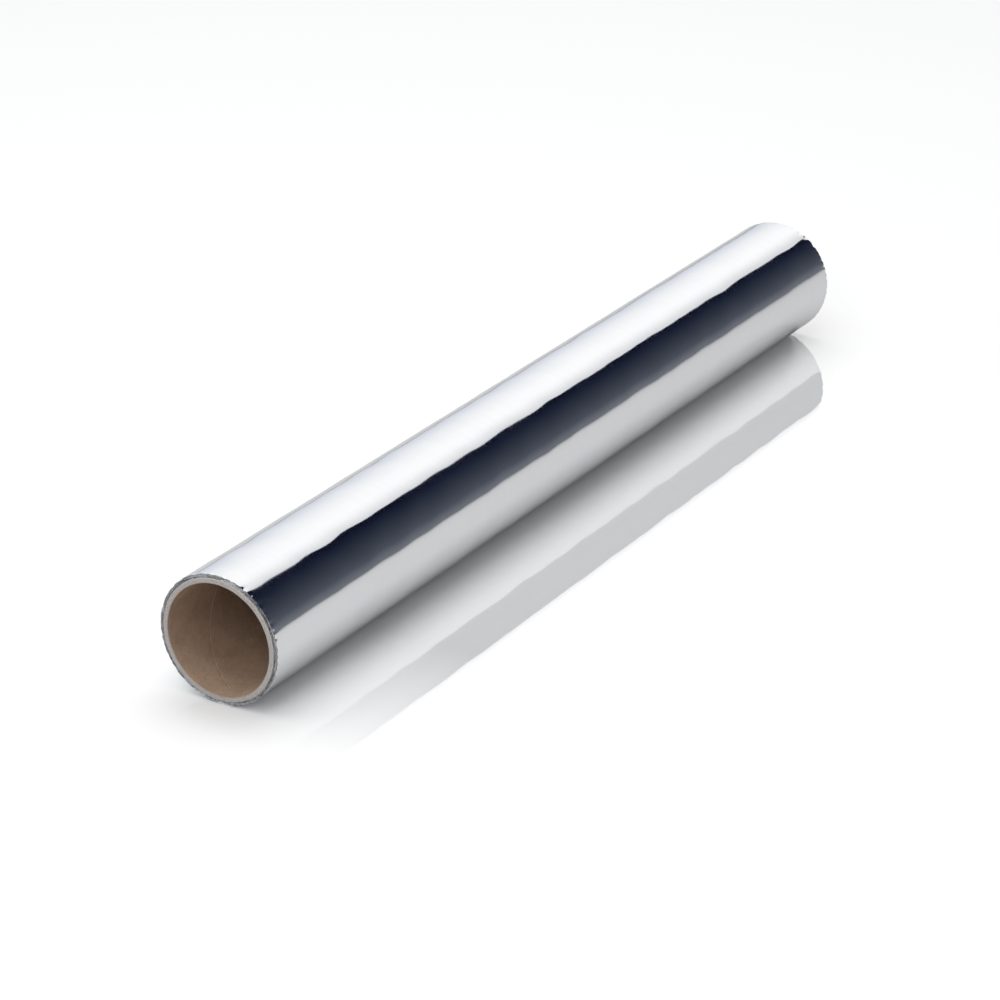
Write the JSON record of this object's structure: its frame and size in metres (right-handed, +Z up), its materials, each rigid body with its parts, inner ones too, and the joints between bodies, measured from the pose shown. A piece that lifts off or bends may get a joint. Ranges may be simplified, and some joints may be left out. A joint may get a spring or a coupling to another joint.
{
  "type": "aluminium foil roll",
  "caption": "Roll of thin bright household foil wound tight on a hollow board core, lying on its side; drawn off as a sheet for wrapping and covering food.",
  "frame": {"origin": "on the surface that the roll lies on, under the middle of the roll and of the core", "axes": "+X along the roll's axis, +Z up, +Y away from the side that faces the viewer"},
  "size_m": [0.3008, 0.035, 0.0348],
  "materials": {
    "foil": "bright rolled",
    "board": "plain brown board"
  },
  "bodies": {
    "root": {"foil_roll": "foil", "core_tube": "board"}
  },
  "joints": []
}
